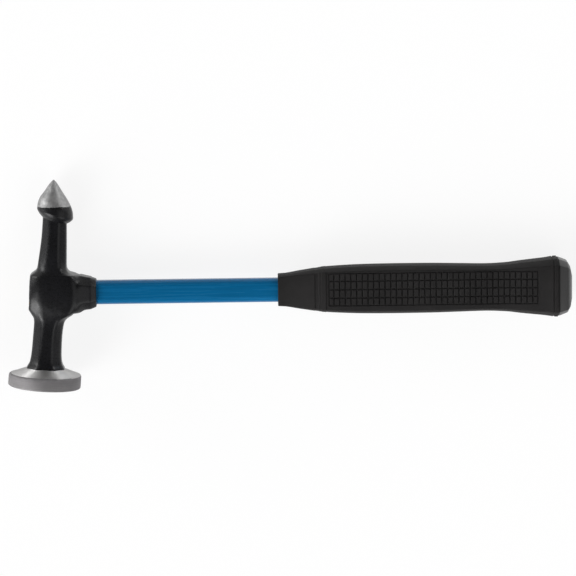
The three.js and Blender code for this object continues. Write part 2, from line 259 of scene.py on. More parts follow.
def places_of(piece, numbers):
    """The corners with these numbers: number and place of each."""
    mesh = bmesh.from_edit_mesh(piece.data)
    mesh.verts.index_update()
    return {corner.index: corner.co.copy() for corner in mesh.verts if corner.index in numbers}


def choose_corners(piece, numbers):
    choose(piece, lambda corner: corner.index in numbers)


def choose_cap(piece, numbers):
    """The faces that have all their corners among these."""
    choose(piece, lambda face: all(corner.index in numbers for corner in face.verts), "FACE")


def stretch(piece, numbers, scale, centre):
    choose_corners(piece, numbers)
    bpy.ops.transform.resize(value=scale, center_override=centre)


def shift(piece, numbers, offset):
    choose_corners(piece, numbers)
    bpy.ops.transform.translate(value=offset)


def extrude(offset):
    bpy.ops.mesh.extrude_region_move(TRANSFORM_OT_translate={"value": offset})


def crease(piece, test, firm):
    """Makes the edges that pass the test firmer, so that they keep their line when the piece is subdivided."""
    choose(piece, test, "EDGE")
    bpy.ops.transform.edge_crease(value=firm)


def apply_place(piece):
    make_active(piece)
    bpy.ops.object.transform_apply(location=True, rotation=True, scale=True)


def place_in(piece, matrix):
    """Takes a finished piece from its own frame to where the hammer lies."""
    piece.matrix_world = matrix
    apply_place(piece)


def tidy_faces(piece):
    """Closes doubled corners and turns every face outward."""
    start_editing(piece)
    bpy.ops.mesh.select_mode(type="VERT")
    choose_all()
    bpy.ops.mesh.remove_doubles(threshold=0.001 * MM)
    bpy.ops.mesh.normals_make_consistent(inside=False)
    stop_editing()


def apply_modifier(piece, kind, name, **settings):
    make_active(piece)
    modifier = piece.modifiers.new(name, kind)
    for key, value in settings.items():
        setattr(modifier, key, value)
    bpy.ops.object.modifier_apply(modifier=modifier.name)


def combine(piece, other, way):
    """Joins the other piece to this one, or cuts it out, and keeps each part's own finish."""
    apply_modifier(piece, "BOOLEAN", way.title(), operation=way, object=other, solver="EXACT",
                   material_mode="TRANSFER")
    mesh = other.data
    bpy.data.objects.remove(other)
    bpy.data.meshes.remove(mesh)


def soften(piece, degrees):
    """Shades the piece smooth, apart from edges sharper than this."""
    make_active(piece)
    bpy.ops.object.shade_smooth_by_angle(angle=math.radians(degrees))


def smooth_line(stations, at):
    """Value of a smooth curve through the stations (place, value, value ...) at one place."""
    last = len(stations) - 1
    if at <= stations[0][0]:
        return list(stations[0][1:])
    if at >= stations[last][0]:
        return list(stations[last][1:])
    here = max(i for i in range(last) if stations[i][0] <= at)
    run = stations[here + 1][0] - stations[here][0]
    part = (at - stations[here][0]) / run

    def rise(i, column):
        """Slope between a station and the next."""
        return (stations[i + 1][column] - stations[i][column]) / (stations[i + 1][0] - stations[i][0])

    def slope(i, column):
        """Slope at a station: level at the first and where the values turn back, so the curve never overshoots."""
        if i == 0:
            return 0.0
        if i == last:
            return rise(i - 1, column)
        before, after = rise(i - 1, column), rise(i, column)
        return 2 * before * after / (before + after) if before * after > 0 else 0.0
    return [
        (2 * part ** 3 - 3 * part ** 2 + 1) * stations[here][column]
        + (part ** 3 - 2 * part ** 2 + part) * (slope(here, column) * run)
        + (3 * part ** 2 - 2 * part ** 3) * stations[here + 1][column]
        + (part ** 3 - part ** 2) * (slope(here + 1, column) * run)
        for column in range(1, len(stations[0]))]


def mix(a, b, part):
    return a + (b - a) * part


# Sections that several pieces share

CUT_PAST = 2 * MM      # a cutter starts this far outside what it cuts


def shape_octagon(piece, axis, low, high, half, cut_low, cut_high, cut_thick):
    """Sizes the selected ring of eight corners: axis 0 is along the handle, 1 along the head.

    Its front and back flats and its two side flats are resized and moved one pair at a time. The corners that are
    cut off may be longer on one side than on the other.
    """
    ring = chosen(piece)
    by_thickness = sorted(ring, key=lambda number: abs(ring[number].z))
    for corners, start, stop, thick in (
            (by_thickness[4:], low + cut_low, high - cut_high, half),
            (by_thickness[:4], low, high, half - cut_thick)):
        places = [ring[number] for number in corners]
        centre = sum(places, Vector()) / 4
        centre.z = 0.0
        scale = [1.0, 1.0, 4 * thick / sum(abs(place.z) for place in places)]
        scale[axis] = 2 * (stop - start) / sum(abs(place[axis] - centre[axis]) for place in places)
        stretch(piece, corners, scale, centre)
        offset = [0.0, 0.0, 0.0]
        offset[axis] = (start + stop) / 2 - centre[axis]
        shift(piece, corners, offset)
    return list(ring)


def octagon_start(name, axis, at):
    """A filled ring of eight corners, square to the head (0) or to the handle (1)."""
    rotation = (math.pi / 2, math.pi / 8, 0) if axis == 0 else (0, math.pi / 2, 0)
    location = (0, at, 0) if axis == 0 else (at, 0, 0)
    bpy.ops.mesh.primitive_circle_add(
        vertices=8, radius=10 * MM, fill_type="NGON", location=location, rotation=rotation)
    piece = bpy.context.object
    piece.name = name
    apply_place(piece)
    if axis == 1:
        start_editing(piece)
        choose_all()
        bpy.ops.transform.rotate(value=math.pi / 8, orient_axis="X", center_override=(at, 0, 0))
        stop_editing()
    return piece


def rounded_bar(name, stations, height, thick, corner, steps=8):
    """A bar along the handle with rounded long edges. Stations are (place, margin around the section)."""
    last_at, last_margin = stations[0]
    bpy.ops.mesh.primitive_plane_add(size=1, location=(last_at, 0, 0), rotation=(0, math.pi / 2, 0))
    piece = bpy.context.object
    piece.name = name
    apply_place(piece)
    start_editing(piece)
    choose_all()
    bpy.ops.transform.resize(
        value=(1, height + 2 * last_margin, thick + 2 * last_margin), center_override=(last_at, 0, 0))
    bpy.ops.mesh.bevel(offset=corner + last_margin, offset_type="OFFSET", segments=steps, affect="VERTICES")
    ring = set(chosen(piece))
    for at, margin in stations[1:]:
        choose_cap(piece, ring)
        extrude((at - last_at, 0, 0))
        ring = set(chosen(piece))
        wider, thicker = (
            (across + 2 * margin) / (across + 2 * last_margin) for across in (height, thick))
        bpy.ops.transform.resize(value=(1, wider, thicker), center_override=(at, 0, 0))
        last_at, last_margin = at, margin
    stop_editing()
    tidy_faces(piece)
    return piece


# The forged head

BOSS_RINGS = (10, 11, 12, 13)      # rings of the cage that the hub grows from
HUB_ROOT = 15.4 * MM               # head axis to the section where the hub has its own shape
HUB_ROOT_HALF = 9.95 * MM          # half height of that section
HUB_ROOT_DROP = 1.9 * MM           # how much lower its lowest row of corners hangs
HUB_ROWS = (-1, -0.5, 0.5, 1)      # where its rows of corners lie, as shares of half the section
# The outer lower corner of the boss falls away to the neck in one broad facet. Ring, how far the corners of its flats
# move in and down, and how far its side corners move down, in millimetres
BOSS_FACET = ((7, 0, 0.2, 0), (8, 0.4, 0.6, 0.4), (9, 1.2, 1.0, 0.9), (10, 2.0, 1.25, 0.9), (11, -0.5, 0.45, 0))


def head_rings(s):
    """The rings of the head's cage, from the face to the pick.

    Each is the place along the head, the section as shape_octagon takes it, and how far the hub side is lifted.
    """
    rim_back = s.rim_length - s.face_reach
    foot = rim_back + s.cone_rise
    lower, upper = s.lower_neck, s.upper_neck
    octagon_cut = 1 - math.tan(math.pi / 8)

    def shoulder(neck, outer, hub, thick):
        """Between a neck and the boss: shares of the boss on the outer side, the hub side and in thickness."""
        cut = neck * octagon_cut
        return (-mix(neck, s.boss_outer, outer), mix(neck, s.boss_inner, hub), mix(neck, s.boss_thick, thick),
                mix(cut, s.boss_cut, thick), mix(cut, s.boss_cut_inner, thick), mix(cut, s.boss_cut_thick, thick))

    def neck(half, outer=0.0, inner=0.0):
        """A neck section; outer and inner make its two sides wider, in millimetres."""
        cut = half * octagon_cut
        return (-half - outer * MM, half + inner * MM, half, cut, cut, cut)
    return (
        (rim_back - 1.2 * MM, neck(s.lower_foot, 0.7, 0.5), 0),
        (foot + 0.2 * MM, neck(s.lower_foot, 0.7, 0.5), 0),
        (foot + 1.7 * MM, neck(mix(lower, s.lower_foot, 0.42), 0.3), 0),
        (foot + 4.8 * MM, neck(mix(lower, s.lower_foot, 0.12), 0.4, -0.1), 0),
        (foot + 8.6 * MM, neck(lower, 0.2, -0.2), 0),
        (-22 * MM, neck(lower, 0, -0.35), 0),
        (-16.4 * MM, shoulder(lower, -0.06, 0.04, 0.1), 0),
        (-14.2 * MM, shoulder(lower, 0.04, 0.2, 0.24), 0),
        (-12.3 * MM, shoulder(lower, 0.42, 0.56, 0.44), 0),
        (-10.5 * MM, shoulder(lower, 0.78, 0.93, 0.66), -0.4 * MM),
        (-8.4 * MM, shoulder(lower, 0.97, 1, 0.86), -1.3 * MM),
        (-3.0 * MM, shoulder(lower, 1.0, 1, 1.01), 0),
        (4.4 * MM, shoulder(upper, 0.98, 1, 0.99), 0),
        (9.5 * MM, shoulder(upper, 0.92, 1, 0.76), 1.7 * MM),
        (11.0 * MM, shoulder(upper, 0.52, 0.62, 0.6), 0.3 * MM),
        (12.4 * MM, shoulder(upper, 0.1, 0.22, 0.46), 0),
        (14.6 * MM, shoulder(upper, 0, 0.03, 0.28), 0),
        (18 * MM, shoulder(upper, -0.08, 0, 0.1), 0),
        (30 * MM, neck(mix(upper, s.upper_tip, 0.5), -0.75), 0),
        (s.pick_base - s.pick_under, neck(s.upper_tip, -0.1), 0),
        (s.pick_base - 1.5 * MM, neck(s.upper_tip * 0.98), 0),
        (s.pick_base - 0.5 * MM, neck(s.upper_tip * 0.9), 0),
    )


def sink_boss_facet(body, ring_of):
    for number, flat_in, flat_down, side_down in BOSS_FACET:
        places = places_of(body, [corner for corner, ring in ring_of.items() if ring == number])
        outer = sorted(places, key=lambda corner: places[corner].x)[:4]
        by_thickness = sorted(outer, key=lambda corner: abs(places[corner].z))
        for corners, inward, down in ((by_thickness[2:], flat_in, flat_down), (by_thickness[:2], 0, side_down)):
            for corner in corners:
                sink = -down if places[corner].z > 0 else down
                shift(body, {corner}, (inward * MM, 0, sink * MM))


def firm_head_edges(body, ring_of, steel_edge):
    """Long edges hold their line; they let go where the shoulders swell into the boss."""
    def long_edge(edge, low, high):
        ends = [ring_of.get(corner.index, -1) for corner in edge.verts]
        return ends[0] != ends[1] and low <= min(ends) and max(ends) <= high
    for low, high, firm in ((0, 7, steel_edge), (7, 9, 0.3), (9, 14, 0.38), (14, 16, 0.3), (16, 21, steel_edge)):
        crease(body, lambda edge: long_edge(edge, low, high), firm)

    # The lines between the broad facet and the flats, and the outer edge of the boss's shoulder under the pick
    facet = {corner for corner, place in places_of(body, ring_of).items()
             if 7 <= ring_of[corner] <= 11 and place.x < -3 * MM and abs(place.z) > 7 * MM}
    crease(body, lambda edge: long_edge(edge, 7, 11) and all(corner.index in facet for corner in edge.verts), 0.45)
    crease(body, lambda edge: all(ring_of.get(corner.index) == 13 and corner.co.x < -5 * MM
                                  for corner in edge.verts), 0.5)


def grow_hub(body, ring_of, s):
    """The hub grows out of the handle side of the boss and narrows to its chamfered mouth."""
    boss = {corner for corner, number in ring_of.items() if number in BOSS_RINGS}
    choose(body, lambda face: all(corner.index in boss for corner in face.verts)
           and face.calc_center_median().x > 6 * MM, "FACE")
    extrude((0, 0, 0))
    root = chosen(body)
    by_row = sorted(root, key=lambda number: root[number].y)
    by_column = sorted(root, key=lambda number: root[number].z)
    rows, columns = ([order[i:i + 4] for i in (0, 4, 8, 12)] for order in (by_row, by_column))
    root_thick = HUB_ROOT_HALF + 0.5 * s.hub_slimmer
    stretch(body, set(root), (0, 1, 1), (HUB_ROOT, 0, 0))
    for group, part in zip(rows, HUB_ROWS):
        stretch(body, set(group), (1, 0, 1), (HUB_ROOT, HUB_ROOT_HALF * part, 0))
    for group, part in zip(columns, HUB_ROWS):
        stretch(body, set(group), (1, 1, 0), (HUB_ROOT, 0, root_thick * part))
    tips = (set(rows[0]) | set(rows[3])) & (set(columns[0]) | set(columns[3]))
    stretch(body, tips, (1, 0.75, 0.75), (HUB_ROOT, 0, 0))
    shift(body, set(rows[0]), (0, -HUB_ROOT_DROP, 0))

    cap = set(root)
    rings = [cap]
    last_at, last_half, last_thick = HUB_ROOT, HUB_ROOT_HALF, root_thick
    lip_at = s.hub_mouth - s.hub_lip
    # Place, half height, share of the slimness in thickness, and how much lower the underside hangs
    for at, half, slim, fuller in (
            (18.2 * MM, 9.3 * MM, 0, -0.15 * MM),
            (lip_at - 0.7 * MM, s.hub_lip_half + 0.05 * MM, 0.4, 0.65 * MM),
            (lip_at + 0.5 * MM, s.hub_lip_half - 0.05 * MM, 0.6, 0.35 * MM),
            (s.hub_mouth - 0.35 * MM, s.hub_mouth_half + 0.15 * MM, 0.9, 0.25 * MM),
            (s.hub_mouth, s.hub_mouth_half - 0.1 * MM, 1.0, 0.2 * MM)):
        choose_cap(body, cap)
        extrude((at - last_at, 0, 0))
        cap = set(chosen(body))
        rings.append(cap)
        thick = half - slim * s.hub_slimmer
        bpy.ops.transform.resize(value=(1, half / last_half, thick / last_thick), center_override=(at, 0, 0))
        places = chosen(body)
        lowest = sorted(cap, key=lambda number: places[number].y)[:4]
        shift(body, set(lowest), (0, -half - fuller - min(place.y for place in places.values()), 0))
        last_at, last_half, last_thick = at, half, thick

    # Its long edges hold their line, the upper ones most
    outline = set()
    for ring in rings:
        places = places_of(body, ring)
        high, low = (way(place.y for place in places.values()) for way in (max, min))
        wide = max(place.z for place in places.values())
        outline |= {corner for corner, place in places.items()
                    if place.y > 0.97 * high or place.y < 0.97 * low or abs(place.z) > 0.97 * wide}

    def hub_edge(edge):
        one, other = edge.verts
        return one.index in outline and other.index in outline and abs(one.co.x - other.co.x) > 0.1 * MM
    crease(body, hub_edge, 0.4)
    crease(body, lambda edge: hub_edge(edge) and all(corner.co.y > 0 for corner in edge.verts), 0.4)


def forged_body(s):
    """Necks, boss and hub as one soft-edged cage of eight-sided rings, then subdivided."""
    rings = head_rings(s)
    body = octagon_start("forged_head", 0, rings[0][0])
    start_editing(body)
    choose_all()
    ring = set(shape_octagon(body, 0, *rings[0][1]))
    ring_of = {number: 0 for number in ring}
    lifts = []
    for number, (at, section, lift) in enumerate(rings[1:], 1):
        choose_cap(body, ring)
        extrude((0, at - rings[number - 1][0], 0))
        ring = set(shape_octagon(body, 0, *section))
        ring_of.update({corner: number for corner in ring})
        if lift:
            lifts.append((ring, lift))
    for corners, lift in lifts:
        places = places_of(body, corners)
        middle = sum(place.x for place in places.values()) / len(places)
        shift(body, {corner for corner, place in places.items() if place.x > middle}, (0, lift, 0))
    sink_boss_facet(body, ring_of)
    firm_head_edges(body, ring_of, s.steel_edge)
    stop_editing()

    # The head leans, the hub points straight along the handle
    body.rotation_euler = (0, 0, -s.lean)
    apply_place(body)
    start_editing(body)
    grow_hub(body, ring_of, s)
    stop_editing()
    tidy_faces(body)
    apply_modifier(body, "SUBSURF", "Subdivision", levels=3, render_levels=3)
    return body


def round_face(s):
    """The round striking face: a disc with rounded edges and a shallow cone behind it."""
    rim_back = s.rim_length - s.face_reach
    bpy.ops.mesh.primitive_cylinder_add(
        vertices=128, radius=s.rim_radius, depth=s.rim_length,
        location=(0, (rim_back - s.face_reach) / 2, 0), rotation=(math.pi / 2, 0, 0))
    disc = bpy.context.object
    disc.name = "round_face"
    apply_place(disc)
    start_editing(disc)
    choose(disc, lambda face: face.calc_center_median().y > rim_back - 0.1 * MM, "FACE")
    bpy.ops.mesh.inset(thickness=s.rim_edge)
    extrude((0, s.cone_rise, 0))
    scale = s.foot_radius / (s.rim_radius - s.rim_edge)
    centre = (0, rim_back + s.cone_rise, 0)
    bpy.ops.transform.resize(value=(scale, 1, scale), center_override=centre)
    # The tip of the cone goes on inside the neck, so that the two overlap
    extrude((0, 0.8 * MM, 0))
    bpy.ops.transform.resize(value=(0.7, 1, 0.7), center_override=centre)

    def around(edge, at, radius):
        return all(abs(corner.co.y - at) < 0.05 * MM
                   and abs(math.hypot(corner.co.x, corner.co.z) - radius) < 0.05 * MM for corner in edge.verts)
    for at, edge_size in ((rim_back, s.rim_edge * 0.95), (-s.face_reach, s.face_edge)):
        choose(disc, lambda edge: around(edge, at, s.rim_radius), "EDGE")
        bpy.ops.mesh.bevel(offset=edge_size, segments=5, affect="EDGES")
    choose_all()
    bpy.ops.transform.translate(value=(-s.face_offset, 0, 0))
    choose(disc, lambda corner: corner.co.y > -s.face_reach + 2 * MM)
    bpy.ops.transform.rotate(value=s.rim_turn, orient_axis="Z", center_override=(0, rim_back, 0))
    bpy.ops.transform.translate(value=(0, -s.rim_lower, 0))
    stop_editing()
    tidy_faces(disc)

    # The back cone is turned, the rim and the face are ground
    disc.data.materials.append(turned_steel())
    disc.data.materials.append(ground_rim_steel())
    start_editing(disc)
    choose(disc, lambda face: face.calc_center_median().y < rim_back - 0.35 * s.rim_edge, "FACE")
    disc.active_material_index = 1
    bpy.ops.object.material_slot_assign()
    stop_editing()
    return disc


# Line of the pick above its collar: share of its height, radius and tilt as shares of the collar's, and share of
# the tip's drift
PICK_LINE = (
    (0.02, 1.0, 1.0, 0.0), (0.1, 0.985, 0.85, 0.05), (0.2, 0.94, 0.7, 0.18), (0.32, 0.85, 0.52, 0.42),
    (0.445, 0.73, 0.33, 0.68), (0.57, 0.573, 0.15, 0.86), (0.69, 0.43, 0.06, 0.98), (0.75, 0.362, 0.0, 1.04),
    (0.86, 0.235, 0.0, 1.08), (0.94, 0.125, 0.0, 1.1), (0.98, 0.055, 0.0, 1.12), (1.0, 0.012, 0.0, 1.12))
# The cone under the collar: share of its depth, then radius and tilt as above
PICK_UNDER = ((-1, 0.64, 1.0), (-0.62, 0.86, 1.03), (-0.3, 0.98, 1.06), (-0.06, 1.01, 1.02))


def pick_point(s):
    """The pick: a tilted collar and a pointed cone whose sections tilt less towards the tip."""
    rise = s.pick_tip - s.pick_base
    under = s.pick_under / rise
    stations = [(depth * under, radius, tilt, 0.0) for depth, radius, tilt in PICK_UNDER] + list(PICK_LINE)
    heights = [depth * under for depth in (-1, -0.62, -0.3, -0.16, -0.08, -0.03)] + [0.01, 0.03, 0.06]
    heights += [0.06 + 0.94 * i / 26 for i in range(1, 26)] + [0.985, 1.0]
    root, radius = s.pick_base - s.pick_under - 1.2 * MM, s.upper_tip * 0.86
    bpy.ops.mesh.primitive_circle_add(
        vertices=96, radius=radius, fill_type="NGON", location=(0, root, 0), rotation=(math.pi / 2, 0, 0))
    pick = bpy.context.object
    pick.name = "pick_point"
    apply_place(pick)
    start_editing(pick)
    choose_all()
    centre, tilt = Vector((0, root, 0)), s.pick_tilt
    bpy.ops.transform.rotate(value=tilt, orient_axis="Z", center_override=centre)
    ring = set(chosen(pick))
    for height in sorted(heights):
        wide, lean, drift = smooth_line(stations, height)
        target = Vector((-s.pick_drift * drift, s.pick_base + rise * height, 0))
        choose_cap(pick, ring)
        extrude(target - centre)
        ring = set(chosen(pick))
        new_radius, new_tilt = s.pick_radius * wide, s.pick_tilt * lean
        bpy.ops.transform.resize(value=(new_radius / radius,) * 3, center_override=target)
        if abs(new_tilt - tilt) > 1e-6:
            bpy.ops.transform.rotate(value=new_tilt - tilt, orient_axis="Z", center_override=target)
        centre, radius, tilt = target, new_radius, new_tilt
    stop_editing()
    tidy_faces(pick)
    return pick


class HAMMER_OT_forged_head(bpy.types.Operator):
    """Makes the forged head: octagonal necks, boss and hub, round face, pick and the tapered eye"""
    bl_idname = "hammer.forged_head"
    bl_label = "Forged head"

    def execute(self, context):
        s, h = context.scene.hammer_head, context.scene.hammer_handle
        black, pick_steel = forging_paint(), ground_pick_steel()
        body, disc, pick = forged_body(s), round_face(s), pick_point(s)
        for piece in (disc, pick):
            piece.rotation_euler = (0, 0, -s.lean)
            apply_place(piece)
        body.data.materials.append(black)
        pick.data.materials.append(pick_steel)
        combine(body, disc, "UNION")
        combine(body, pick, "UNION")

        # The tapered eye. Its cutter widens where it leaves the head, which breaks the edges of both ends
        edge, near, far = h.broken_edge, h.eye_near, h.eye_far
        widen = (h.eye_far_margin - h.eye_near_margin) / (near - far)
        eye = rounded_bar("eye_cutter", (
            (s.hub_mouth + 1.5 * MM, h.mouth_margin + edge + 1.5 * MM), (s.hub_mouth - edge, h.mouth_margin),
            (near, h.mouth_margin), (near - 0.02 * MM, h.eye_near_margin),
            (far + edge, h.eye_near_margin + widen * (near - far - edge)),
            (far - 3 * MM, h.eye_far_margin + 3.3 * MM)), h.shaft_height, h.shaft_thick, h.shaft_corner)
        combine(body, eye, "DIFFERENCE")
        tidy_faces(body)
        place_in(body, hammer_frame())
        soften(body, 32)
        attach(body, "root")
        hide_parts("head")
        return {"FINISHED"}


class HAMMER_OT_shaft(bpy.types.Operator):
    """Makes the coloured jacket of the shaft and finishes the glass core inside it"""
    bl_idname = "hammer.shaft"
    bl_label = "Shaft"

    def execute(self, context):
        h = context.scene.hammer_handle
        section = (h.shaft_height, h.shaft_thick, h.shaft_corner, 12)
        jacket = rounded_bar("shaft_jacket_glossy", ((h.shaft_start, 0), (h.shaft_end, 0)), *section)
        bore = rounded_bar("bore_cutter", (
            (h.shaft_start - CUT_PAST, -h.jacket_wall), (h.shaft_end + CUT_PAST, -h.jacket_wall)), *section)
        combine(jacket, bore, "DIFFERENCE")
        tidy_faces(jacket)
        place_in(jacket, hammer_frame())
        soften(jacket, 35)
        jacket.data.materials.clear()
        jacket.data.materials.append(blue_jacket())
        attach(jacket, "root")
        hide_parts("shaft_jacket")
        dress_node("shaft_core", glass_core())
        return {"FINISHED"}


class HAMMER_OT_eye_filling(bpy.types.Operator):
    """Finishes the cured adhesive and the elastic ring in the eye"""
    bl_idname = "hammer.eye_filling"
    bl_label = "Eye filling"

    def execute(self, context):
        dress_node("eye_bond", cured_adhesive())
        dress_node("eye_seal", seal_rubber())
        return {"FINISHED"}


# Line of the grip: place, and half height and half thickness as compared with the palm, in millimetres
GRIP_LINE = (
    (125.3, -4.45, -3.6), (136.5, -2.9, -2.35), (147.6, -1.35, -1.1), (154, -0.85, -0.65), (160.7, -0.5, -0.35),
    (169, -0.2, -0.15), (179, -0.05, -0.05), (190, 0, 0), (206, -0.05, 0), (222, -0.35, -0.25),
    (237.6, -0.65, -0.5), (249, -0.16, -0.12), (255.9, 0.68, 0.52), (264.3, 1.55, 1.22), (270, 2.15, 1.7),
    (274.6, 2.9, 2.3))
# Groove and bar before the pads, groove and ridge at the butt: place, and what they add to both
GRIP_BARS = (
    (144.0, 0, 0), (144.3, -0.08, -0.3), (146.1, -0.08, -0.3), (146.4, 0, 0),
    (147.7, 0, 0), (147.95, 0.1, 0.35), (150.1, 0.1, 0.35), (150.35, 0, 0),
    (273.7, 0, 0), (273.95, -0.35, -0.35), (274.35, -0.35, -0.35), (274.6, 0, 0),
    (276.3, 0, 0), (276.55, -0.5, -0.5), (276.95, -0.5, -0.5), (277.3, -0.45, -0.45))
BUTT_GROOVE = 8          # where in that list the butt's groove begins
BUTT_RING = 277.3 * MM   # the last of them, where the closed end begins
GRIP_CLOSE = ((281.9, 0.75, 0.2), (283.3, -1.6, -1.9))       # the closed end, as compared with the palm
GRIP_END_FLAT = (6.6 * MM, 5.0 * MM)                         # half height and half thickness of the flat that ends it


def grip_sections(h):
    """Place, half height and half thickness of every ring of the grip."""
    high, thick = h.palm_half, h.palm_thick
    line, bars, close = ([(at * MM, wider * MM, thicker * MM) for at, wider, thicker in table]
                         for table in (GRIP_LINE, GRIP_BARS, GRIP_CLOSE))
    line, close = ([(at, high + wider, thick + thicker) for at, wider, thicker in table] for table in (line, close))
    step = (h.pad_end - h.pad_start) / h.pad_columns
    rings = [(mix(line[0][0], bars[0][0], i / 7), 0, 0) for i in range(7)] + bars
    rings += [(h.pad_start + step * i, 0, 0) for i in range(h.pad_columns + 1)]
    rings += [(mix(h.pad_end, bars[BUTT_GROOVE][0], i / 3), 0, 0) for i in (1, 2)]
    sections = []
    for at, wider, thicker in sorted(rings):
        here, here_thick = smooth_line(line, at)
        sections.append((at, here + wider, here_thick + thicker))
    first = sections[0]
    front = [(h.grip_start + back * MM, first[1] - less * MM, first[2] - less * MM)
             for back, less in ((0, 0.3), (0.3, 0.05))]
    return front + sections + close + [(h.grip_end, *GRIP_END_FLAT)]


class HAMMER_OT_grip(bpy.types.Operator):
    """Makes the moulded rubber grip with its rows of pads and flared butt"""
    bl_idname = "hammer.grip"
    bl_label = "Grip"

    def execute(self, context):
        h = context.scene.hammer_handle
        sections = grip_sections(h)
        grip = octagon_start("grip_moulded", 1, sections[0][0])
        start_editing(grip)
        choose_all()
        ring = None
        for number, (at, high, thick) in enumerate(sections):
            if ring:
                choose_cap(grip, ring)
                extrude((at - sections[number - 1][0], 0, 0))
            cut = h.cut_high * (high / h.palm_half) ** 2.3
            ring = set(shape_octagon(grip, 1, -high, high, thick, cut, cut, h.cut_thick * thick / h.palm_thick))
        stop_editing()
        tidy_faces(grip)
        start_editing(grip)

        # Long edges and the rings of the closed end are rounded
        def long_edge(edge):
            a, b = (corner.co for corner in edge.verts)
            return abs(a.x - b.x) > 0.2 * MM and edge.calc_face_angle(0) > math.radians(12)

        def end_edge(edge):
            return min(corner.co.x for corner in edge.verts) > BUTT_RING - 0.1 * MM
        choose(grip, lambda edge: len(edge.link_faces) == 2 and (long_edge(edge) or end_edge(edge)), "EDGE")
        bpy.ops.mesh.bevel(offset=h.corner_round, segments=3, affect="EDGES")

        # The flats are cut lengthwise into rows, then the panel is sunk and its pads raised again
        first, last = h.pad_start - 0.01 * MM, h.pad_end + 0.01 * MM

        def flat_face(face):
            reach = [corner.co.y for corner in face.verts]
            return (first < face.calc_center_median().x < last and abs(face.normal.z) > 0.95
                    and max(reach) - min(reach) > 1 * MM)

        def pad_face(face):
            return flat_face(face) and abs(face.calc_center_median().y - h.panel_shift) < h.panel_half
        for number in range(h.pad_rows + 1):
            choose(grip, flat_face, "FACE")
            bpy.ops.mesh.bisect(
                plane_co=(0, h.panel_shift + mix(-h.panel_half, h.panel_half, number / h.pad_rows), 0),
                plane_no=(0, 1, 0))
        choose(grip, pad_face, "FACE")
        pads = sum(face.select for face in bmesh.from_edit_mesh(grip.data).faces)
        if pads != 2 * h.pad_rows * h.pad_columns:
            raise RuntimeError("grip: %d pads were cut" % pads)
        slope, top_edge = 0.12 * MM, 0.14 * MM
        bpy.ops.mesh.inset(thickness=0.35 * MM, depth=-h.panel_depth)
        for inwards, raised in ((h.pad_gap, 0), (slope, h.pad_height - slope), (top_edge, slope)):
            bpy.ops.mesh.inset(thickness=inwards, depth=raised, use_individual=True)
        stop_editing()
        bore = rounded_bar(
            "bore_cutter", ((h.grip_start - CUT_PAST, h.fit_gap), (h.shaft_end + h.fit_gap, h.fit_gap)),
            h.shaft_height, h.shaft_thick, h.shaft_corner)
        combine(grip, bore, "DIFFERENCE")
        tidy_faces(grip)
        place_in(grip, hammer_frame())
        soften(grip, 28)

        # The closed end is worn smooth
        grip.data.materials.clear()
        grip.data.materials.append(grip_rubber("grip_rubber", 0.56, 0.72, 0.12))
        grip.data.materials.append(grip_rubber("grip_end_rubber", 0.3, 0.4, 0.5))
        place = hammer_frame().inverted()
        for face in grip.data.polygons:
            face.material_index = int((place @ face.center).x > BUTT_RING - 0.05 * MM)
        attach(grip, "root")
        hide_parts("grip")
        return {"FINISHED"}


# Finishes

